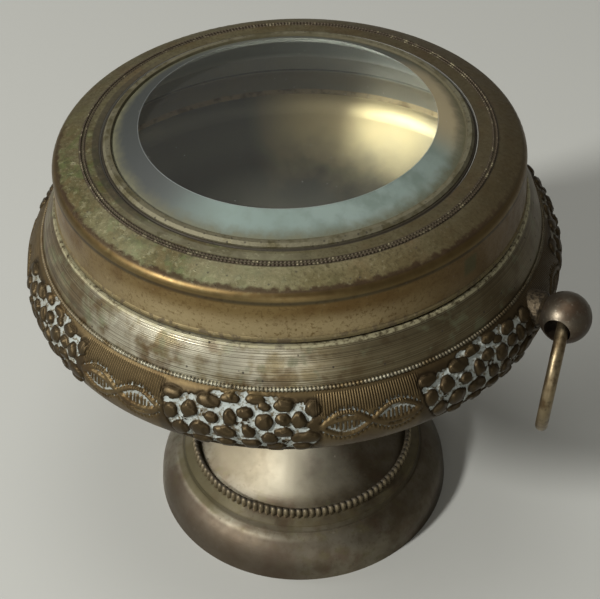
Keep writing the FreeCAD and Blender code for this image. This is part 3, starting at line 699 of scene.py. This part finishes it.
def bowl_finish():
    """Tinned inside, dull low down, with a painted pool of golden light high up on the side that
    the light reaches.
    """
    finish = Finish("tinned bowl brass", (150, 134, 104), 0.95, 0.28)
    finish.layer(finish.patches(16, 0.42, 0.7, detail=4, seed=51), (112, 98, 74), roughness=0.36)
    inside = finish.inward()
    finish.layer(inside, (86, 84, 78), roughness=0.44, amount=0.85)
    side = finish.both(inside, finish.ramp(finish.height, *bowl_side_reach))
    finish.layer(side, (134, 129, 114), roughness=0.46, amount=0.85)
    uneven = finish.math("MULTIPLY", finish.noise(9, detail=3, seed=57), 8)
    wall = finish.ramp(finish.math("ADD", finish.height, uneven), *bowl_light_pool_reach)
    # Painted pool of light: the lamp's light through the glass on the bowl's far right wall
    golden = finish.both(inside, wall, finish.facing(RIGHT + 72, 0.86, 0.985))
    finish.layer(golden, (234, 210, 162), roughness=0.56, amount=0.9)
    finish.vary_roughness(finish.noise(4, detail=3, seed=52), 0.15)
    finish.raise_by(finish.noise(20, detail=1, seed=53), 0.6)
    return finish.done()


def solder_finish():
    """Dull and lumpy."""
    finish = Finish("tarnished solder", (176, 154, 116), 0.5, 0.6)
    finish.layer(finish.patches(3, 0.45, 0.65, detail=4, seed=55), (138, 116, 82), roughness=0.65)
    finish.raise_by(finish.noise(1.6, detail=3, seed=56), 0.1)
    return finish.done()


def bezel_finish():
    """Rough and pitted, with a dark uneven inner edge."""
    finish = Finish("pitted bezel", (106, 101, 80), 0.65, 0.66)
    finish.layer(finish.patches(3.5, 0.46, 0.62, detail=5, seed=61), (84, 78, 54), roughness=0.55)
    finish.layer(finish.specks(1.3, 0.26, 0.12, seed=3), (44, 38, 26), roughness=0.8,
                 metallic=0.3, amount=0.75)
    uneven = finish.noise(1.5, detail=4, seed=64)
    inside = finish.ramp(finish.math("ADD", finish.radius, uneven), *bezel_inside_radii)
    finish.layer(inside, (70, 64, 42), roughness=0.8, metallic=0.2, amount=0.85)
    finish.raise_by(finish.noise(0.9, detail=3, seed=62), 0.14)
    finish.raise_by(finish.noise(4, detail=2, seed=63), 0.25)
    return finish.done()


def knob_finish():
    """Worn brown balls, with painted shade outward and downward."""
    finish = Finish("knob brass", (94, 86, 73), 0.9, 0.42)
    finish.layer(finish.patches(4, 0.42, 0.66, detail=4, seed=71), (80, 66, 52), roughness=0.5)
    finish.layer(finish.patches(0.9, 0.55, 0.75, detail=3, seed=72), (140, 132, 116), amount=0.4)
    # Painted shade on the balls' outer, lower sides
    outward = finish.math("SUBTRACT", finish.radius, finish.height)
    finish.layer(finish.ramp(outward, *ball_shade_reach), (50, 38, 28), roughness=0.5, amount=0.75)
    finish.layer(finish.specks(0.8, 0.2, 0.08, seed=11), (70, 54, 40), roughness=0.6, amount=0.5)
    finish.raise_by(finish.noise(1.2, detail=3, seed=73), 0.04)
    return finish.done()


def collar_finish():
    """Dark and coarse-grained."""
    finish = Finish("grainy knob collar", (76, 66, 50), 0.8, 0.55)
    grain = finish.noise(0.9, detail=3, seed=75)
    finish.layer(finish.ramp(grain, 0.45, 0.6), (46, 39, 28), roughness=0.7)
    finish.raise_by(grain, 0.3)
    return finish.done()


def ring_finish():
    """Worn wire with brown patches."""
    finish = Finish("ring wire", (122, 109, 84), 0.95, 0.42)
    finish.layer(finish.patches(4, 0.45, 0.68, detail=4, seed=81), (84, 68, 46), roughness=0.48)
    finish.layer(finish.patches(1.2, 0.52, 0.66, detail=4, seed=84), (62, 50, 34), amount=0.5)
    finish.vary_roughness(finish.noise(2, detail=3, seed=82), 0.2)
    finish.raise_by(finish.noise(2.5, detail=2, seed=83), 0.12)
    return finish.done()


def glass_finish():
    """Clear glass with a clouded bevel whose colours round the axis are painted reflections; rays
    from lamps pass through it unbent.
    """
    finish = Finish("bevelled window glass", (236, 240, 238), 0.0, 0.02)
    shader = finish.shader
    shader.inputs["IOR"].default_value = 1.5
    bevel = finish.both(finish.ramp(finish.radius, *bevel_radii),
                        finish.ramp(finish.height, *bevel_reach))
    finish.layer(bevel, (72, 76, 66), roughness=0.6)
    # Painted reflections on the bevel: pale teal towards the front
    front = finish.both(bevel, finish.facing(FRONT + 16, 0.3, 0.85))
    finish.layer(front, (112, 128, 119), roughness=0.6)
    finish.layer(finish.both(bevel, finish.facing(FRONT + 40, 0.72, 0.97)), (130, 144, 136),
                 amount=0.7)
    # Patches that break the painted reflection at the front
    cloudy = finish.patches(7, 0.42, 0.62, detail=5, seed=91)
    finish.layer(finish.both(front, cloudy), (104, 118, 108))
    # Painted reflection of the lit bowl: golden towards the right
    golden = finish.both(bevel, finish.facing(RIGHT + 10, 0.8, 0.98))
    finish.layer(golden, (176, 160, 124), amount=0.8)
    # Painted dark reflection towards the left
    slate = finish.both(bevel, finish.facing(LEFT - 5, 0.25, 0.85))
    finish.layer(slate, (38, 41, 38), amount=0.9)
    # Painted reflection, darker towards the back
    back = finish.both(bevel, finish.facing(BACK - 10, 0.55, 0.95))
    finish.layer(back, (72, 74, 62), amount=0.8)
    uneven = finish.math("MULTIPLY", finish.noise(2.2, detail=5, seed=92), 3.0)
    rim = finish.ramp(finish.math("ADD", finish.radius, uneven), *glass_rim_radii)
    rim = finish.both(bevel, rim)
    finish.layer(rim, (84, 82, 58), roughness=0.7, amount=0.9)
    dust = finish.specks(3.4, 0.035, 0.02, seed=9)
    finish.layer(dust, (190, 190, 180), roughness=0.9)
    solid = finish.either(finish.math("MULTIPLY", bevel, 0.78), rim, dust)
    finish.set(shader.inputs["Transmission Weight"], finish.math("SUBTRACT", 1.0, solid))
    material = finish.done()
    nodes, links = material.node_tree.nodes, material.node_tree.links
    path = nodes.new("ShaderNodeLightPath")
    clear = nodes.new("ShaderNodeBsdfTransparent")
    clear.inputs["Color"].default_value = (0.86, 0.9, 0.88, 1)
    mix = nodes.new("ShaderNodeMixShader")
    links.new(path.outputs["Is Shadow Ray"], mix.inputs[0])
    links.new(shader.outputs[0], mix.inputs[1])
    links.new(clear.outputs[0], mix.inputs[2])
    links.new(mix.outputs[0], nodes["Material Output"].inputs["Surface"])
    return material


def full_turn(count):
    """Angles of count columns round the axis."""
    return np.linspace(0, 2 * math.pi, count, endpoint=False)


def turned_mesh(name, radii, levels, material):
    """A smooth closed mesh round the axis, from a loop of profile points.

    radii and levels hold one row per profile point and one column per angle.
    """
    rows, columns = radii.shape
    angles = full_turn(columns)
    points = np.stack([radii * np.cos(angles), radii * np.sin(angles), levels], axis=-1) * MM
    row, column = np.meshgrid(np.arange(rows), np.arange(columns), indexing="ij")
    next_row, next_column = (row + 1) % rows, (column + 1) % columns
    corners = [(row, column), (row, next_column), (next_row, next_column), (next_row, column)]
    faces = np.stack([at_row * columns + at_column for at_row, at_column in corners], axis=-1)
    mesh = bpy.data.meshes.new(name)
    mesh.from_pydata(points.reshape(-1, 3).tolist(), [], faces.reshape(-1, 4).tolist())
    mesh.polygons.foreach_set("use_smooth", [True] * len(mesh.polygons))
    mesh.materials.append(material)
    return placed(name, mesh)


def placed(name, data):
    """A new object of the scene."""
    piece = bpy.data.objects.new(name, data)
    bpy.context.scene.collection.objects.link(piece)
    return piece


def smooth_step(value):
    clipped = np.clip(value, 0, 1)
    return clipped * clipped * (3 - 2 * clipped)


def oval_distance(u, v, at_u, at_v, half_length, half_width):
    """Distance outside an oval's edge, less than 0 within it, and the share of its size."""
    share = np.sqrt(((u - at_u) / half_length) ** 2 + ((v - at_v) / half_width) ** 2)
    return (share - 1) * np.minimum(half_length, half_width), share


def cluster_relief(u, v):
    """Height of the petals, and how far the ground round them is sunk, 0 to 1."""
    forms = np.zeros_like(u)
    nearest = np.full_like(u, 9.0)
    second = np.full_like(u, 9.0)
    for at_u, at_v, half_length, half_width in PETALS:
        uneven = (uneven_wide * np.sin(1.9 * u + 1.3 * v + at_u)
                  + uneven_fine * np.sin(2.3 * v - 2.1 * u + at_v))
        distance, share = oval_distance(u, v, at_u, at_v, half_length + petal_growth + uneven,
                                        half_width + petal_growth + uneven)
        dome = np.sqrt(np.clip(1 - share ** 2, 0, 1))
        rise = ((1 - dome_share) * relief_recess
                + (relief_swell + dome_share * relief_recess) * dome)
        forms = np.maximum(forms, smooth_step(-distance / relief_edge) * rise)
        second = np.minimum(second, np.maximum(nearest, distance))
        nearest = np.minimum(nearest, distance)
    ground = (smooth_step((ground_reach - nearest) / 0.4)
              * smooth_step((second_reach - second) / 0.5))
    return forms, np.maximum(ground, 0.5 * smooth_step((0.35 - nearest) / 0.25))


def scroll_relief(u, v, repeat):
    """Height of the crossing ribbons, with their grooves, ticks and leaf-shaped hollows."""
    half_scroll = repeat / 2 - cluster_half
    along = (u - repeat / 2) / half_scroll
    inside = smooth_step((1.02 - np.abs(along)) / 0.05)
    wave = -np.sin(math.pi * along)
    slope = np.abs(np.cos(math.pi * along)) * math.pi * scroll_swing / half_scroll
    steep = np.sqrt(1 + slope ** 2)
    off_middle = np.abs(v - scroll_middle_level)
    leaf_half = scroll_swing * np.abs(wave)
    side = np.where(along < 0, 1, -1)
    lines = (scroll_middle_level + scroll_swing * wave, scroll_middle_level - scroll_swing * wave,
             scroll_middle_level + scroll_swing * scroll_inner_share * np.abs(wave) * side)

    hollow = smooth_step((leaf_half + 0.3 - off_middle) / 0.4)
    scroll = -(leaf_recess_share * relief_recess * inside * hollow)
    for line in lines:
        off = np.abs(v - line) / steep
        groove_off = np.abs(off - ribbon_half_width - ribbon_groove_width)
        groove = smooth_step((ribbon_groove_width - groove_off) / 0.16)
        scroll = np.minimum(scroll, -ribbon_groove_depth * inside * groove)
    for line in lines:
        off = np.abs(v - line) / steep
        ribbon = np.sqrt(1 - np.clip(off / ribbon_half_width, 0, 1) ** 2)
        raised = np.maximum(scroll, inside * (ribbon_rise * ribbon - ribbon_sink))
        scroll = np.where(ribbon > 0, raised, scroll)

    rim = off_middle - leaf_half
    tick_wave = np.sin(2 * math.pi * u / tick_pitch)
    tick_zone = smooth_step((rim - 0.5) / 0.2) * smooth_step((1.7 - rim) / 0.3)
    ticks = smooth_step((tick_wave - 0.1) / 0.6)
    scroll = scroll - tick_depth * inside * tick_zone * ticks * (off_middle >= leaf_half)
    inner_ticks = smooth_step((tick_wave + 0.2) / 0.6)
    inner_zone = inside * smooth_step((-rim - 1.3) / 0.3)
    return scroll + inner_tick_rise * inner_zone * inner_ticks * (scroll < -0.2)


def girdle_height(u, v, repeat):
    """Relief over one repeat; u runs from one cluster's middle to the next."""
    from_cluster = np.where(u > repeat / 2, u - repeat, u)
    forms, ground = cluster_relief(from_cluster, v)
    height = forms - relief_recess * ground
    height = height + scroll_relief(u, v, repeat) * (1 - ground)
    rope = smooth_step((cluster_low - 0.6 - v) / 0.3)
    diagonal = np.abs(np.sin(math.pi * (u + v) / rope_pitch))
    return height * (1 - rope) + rope * (rope_depth * diagonal - rope_depth)


def make_girdle(material):
    """The embossed band: relief on its outer side, plain inside."""
    columns = repeats * repeat_columns
    angles = full_turn(columns)
    top = math.asin((belt_top - belt_level) / section_radius)
    bottom = math.asin((belt_bottom - belt_level) / section_radius)
    repeat = 2 * math.pi * belt_radius / repeats
    u = ((angles - math.radians(first_cluster)) * belt_radius) % repeat
    uu, turns = np.meshgrid(u, np.linspace(bottom, top, section_rows))
    relief = girdle_height(uu, turns * section_radius, repeat)
    keep = (smooth_step((top - turns) * section_radius / fade_top)
            * smooth_step((turns - bottom) * section_radius / fade_bottom))
    outer = section_radius + relief * keep
    radii = section_centre + outer * np.cos(turns)
    levels = belt_level + outer * np.sin(turns)
    inner_turns = np.linspace(top, bottom, inner_rows)
    inner_radius = section_radius - belt_thickness
    inner_radii = section_centre + inner_radius * np.cos(inner_turns)
    inner_levels = np.clip(belt_level + inner_radius * np.sin(inner_turns), belt_bottom, belt_top)
    ones = np.ones(columns)
    piece = turned_mesh("embossed_girdle", np.vstack([radii, np.outer(inner_radii, ones)]),
                        np.vstack([levels, np.outer(inner_levels, ones)]), material)
    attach(piece, "root")
    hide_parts("girdle_band")


def milled_wire(name, radius, level, wire_radius, count, depth, sides, material):
    """A wire ring with rounded beads milled along it."""
    swell = np.abs(np.cos(full_turn(count * columns_per_bead) * count / 2))
    section = wire_radius - depth * (1 - swell)
    radii = radius + np.outer(np.cos(full_turn(sides)), section)
    levels = level + np.outer(np.sin(full_turn(sides)), section)
    return turned_mesh(name, radii, levels, material)


def make_top_bead(material):
    """The milled wire at the girdle's upper edge."""
    piece = milled_wire("girdle_beaded_wire", top_bead_radius, (bead_high + bead_low) / 2,
                        top_bead_wire, top_bead_count, top_bead_depth, 10, material)
    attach(piece, "root")
    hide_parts("girdle_top_bead")


def make_lid_beading(material):
    """Two fine rows of beading on the lid's top."""
    for name, side in (("lid_beading_outer", 0.5), ("lid_beading_inner", -0.5)):
        radius = lid_beading_radius + side * lid_beading_gap
        piece = milled_wire(name, radius, lid_top - lid_beading_sink, lid_beading_wire,
                            lid_bead_count, lid_bead_depth, 8, material)
        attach(piece, "lid")


def make_foot_beads(material):
    """Upright rounded bars side by side on the foot's ledge."""
    outer = node_radii("foot_bead_ring").max()
    inner = node_radii("foot_bead_ring").min()
    low, high = node_levels("foot_bead_ring")
    columns = foot_bead_count * columns_per_foot_bead
    bar = np.abs(np.cos(full_turn(columns) * foot_bead_count / 2)) ** foot_bead_fullness
    front = outer - foot_bead_swell + foot_bead_swell * bar
    span = high - low
    radii = [np.full(columns, inner), front]
    levels = [np.full(columns, low), np.full(columns, low)]
    for turn in np.linspace(0, math.pi, 9):
        reach = (1 - math.cos(turn)) / 2
        radii.append(front * (1 - reach) + inner * reach)
        levels.append(high - span * foot_bead_crown * (1 - math.sin(turn))
                      - (1 - bar) * span * foot_bead_dip)
    piece = turned_mesh("foot_beading", np.array(radii), np.array(levels), material)
    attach(piece, "root")
    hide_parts("foot_bead_ring")


def dress_nodes(finishes):
    """Gives CAD nodes their finishes, in place of what they come with."""
    for names, material in finishes:
        for name in names:
            mesh = NODES[name].data
            mesh.materials.clear()
            mesh.materials.append(material)
            mesh.polygons.foreach_set("material_index", [0] * len(mesh.polygons))


def make_lamp(name, azimuth, distance, height, aim_height, size, power):
    """A round area lamp that shines on a point of the object's axis."""
    light = bpy.data.lights.new(name, "AREA")
    light.shape = "DISK"
    light.size = size * MM
    light.energy = power
    angle = math.radians(view_azimuth + azimuth)
    x, y = distance * math.cos(angle), distance * math.sin(angle)
    lamp = placed(name, light)
    lamp.location = (x * MM, y * MM, height * MM)
    away = Vector((x, y, height - aim_height))
    lamp.rotation_euler = away.to_track_quat("Z", "Y").to_euler()


def make_sky():
    world = bpy.data.worlds.new("studio")
    bpy.context.scene.world = world
    world.use_nodes = True
    sky = world.node_tree.nodes["Background"]
    sky.inputs["Color"].default_value = linear(*SKY)
    sky.inputs["Strength"].default_value = sky_strength


def make_floor():
    mesh = bpy.data.meshes.new("floor")
    half = floor_half
    corners = [(-half, -half, 0), (half, -half, 0), (half, half, 0), (-half, half, 0)]
    mesh.from_pydata(corners, [], [(0, 1, 2, 3)])
    finish = Finish("pale floor", (170, 170, 163), 0.0, 0.6)
    mesh.materials.append(finish.done())
    floor = placed("floor", mesh)


def make_camera():
    camera_data = bpy.data.cameras.new("view")
    camera_data.sensor_width = view_sensor
    camera_data.lens = view_lens
    camera_data.clip_start = view_clip
    camera = placed("view", camera_data)
    pitch, roll = math.radians(view_pitch), math.radians(view_roll)
    turn = Matrix.Rotation(math.radians(view_azimuth + 90), 3, "Z")
    right = np.array([1.0, 0, 0])
    up = np.array([0, math.sin(pitch), math.cos(pitch)])
    back = np.array([0, -math.cos(pitch), math.sin(pitch)])
    tilted_right = math.cos(roll) * right + math.sin(roll) * up
    tilted_up = -math.sin(roll) * right + math.cos(roll) * up
    axes = turn @ Matrix([tilted_right, tilted_up, back]).transposed()
    camera.matrix_world = axes.to_4x4()
    camera.location = turn @ Vector((view_aside * MM, -view_distance * MM, view_height * MM))
    bpy.context.scene.camera = camera


def main():
    make_girdle(girdle_finish())
    make_top_bead(top_bead_finish())
    make_lid_beading(lid_beading_finish())
    make_foot_beads(foot_beading_finish())
    dress_nodes([
        (["lid_shell", "lid_rolled_edge"], lid_finish()),
        (["shoulder_shell"], shoulder_finish()),
        (["pedestal_foot", "stem_collar"], foot_finish()),
        (["lower_bowl", "knob_washer_right", "knob_washer_left"], bowl_finish()),
        (["body_solder"], solder_finish()),
        (["lid_bezel"], bezel_finish()),
        (["lid_glass"], glass_finish()),
        (["knob_right", "knob_left"], knob_finish()),
        (["knob_collar_right", "knob_collar_left"], collar_finish()),
        (["ring_right", "ring_left"], ring_finish()),
    ])
    make_floor()
    for lamp in LAMPS:
        make_lamp(*lamp)
    make_sky()
    make_camera()
    bpy.context.scene.view_settings.view_transform = "Standard"


main()
